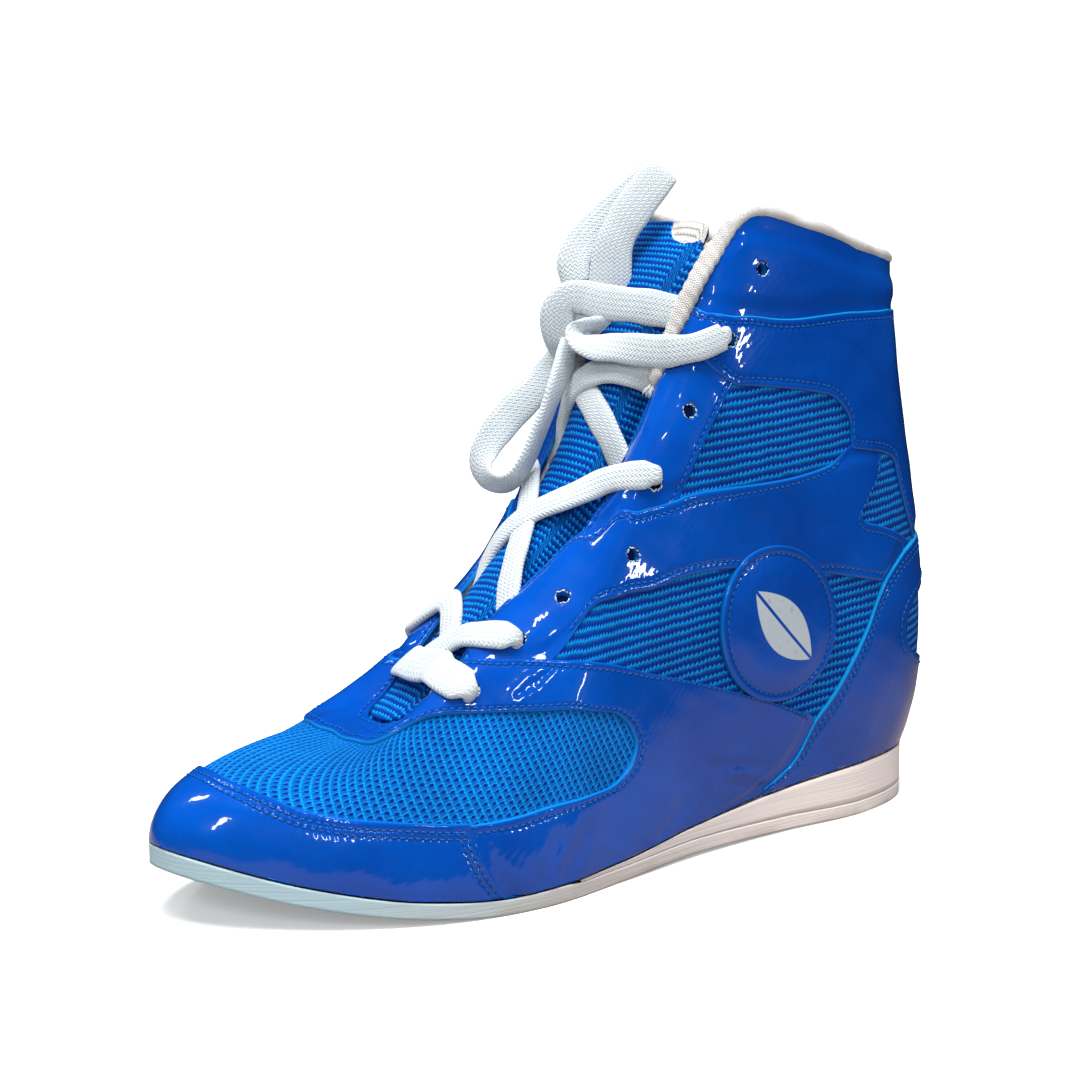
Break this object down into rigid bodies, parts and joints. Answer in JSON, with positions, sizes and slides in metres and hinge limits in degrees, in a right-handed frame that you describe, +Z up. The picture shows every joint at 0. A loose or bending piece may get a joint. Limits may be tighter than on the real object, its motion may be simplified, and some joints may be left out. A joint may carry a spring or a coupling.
{
  "type": "boxing shoe",
  "caption": "High-cut laced boxing shoe for the left foot: hollow mesh and patent upper open at the collar, thin flat sole with a heel wedge, padded tongue and a flat tied lace.",
  "frame": {"origin": "middle of the shoe's bounding box in plan, on the floor plane under the sole", "axes": "+X to the toe, +Y to the lateral (left) side, +Z up"},
  "size_m": [0.2865, 0.0954, 0.2155],
  "materials": {
    "outsole_rubber": "white rubber sheet, matt, lightly milled edge",
    "wedge_foam": "white foam rubber, matt, lightly milled edge",
    "insole_cloth": "plain matt cloth",
    "mesh_cloth": "ribbed knitted mesh, blue with a light blue yarn",
    "patent": "glossy patent, deep blue, with light blue cut edges",
    "lining_cloth": "white knitted lining, rolled edge",
    "tongue_cloth": "blue knitted mesh over thin padding",
    "lace": "white flat braid"
  },
  "bodies": {
    "root": {"outsole": "outsole_rubber", "heel_wedge": "wedge_foam", "insole": "insole_cloth", "upper": "mesh_cloth", "toe_cap": "patent", "vamp_band": "patent", "eyestay_wave_lateral": "patent", "eyestay_wave_medial": "patent", "eyestay_tab_lateral": "patent", "eyestay_tab_medial": "patent", "ankle_band": "patent", "cuff_top": "patent", "heel_counter": "patent", "badge": "patent", "collar_binding": "lining_cloth", "tongue": "tongue_cloth", "lace_crossing_lower": "lace", "lace_crossing_middle": "lace", "lace_crossing_upper": "lace", "lace_bar_top": "lace", "lace_end_tucked": "lace", "lace_knot": "lace", "lace_loop_hanging": "lace", "lace_loop_upright": "lace"}
  },
  "joints": []
}
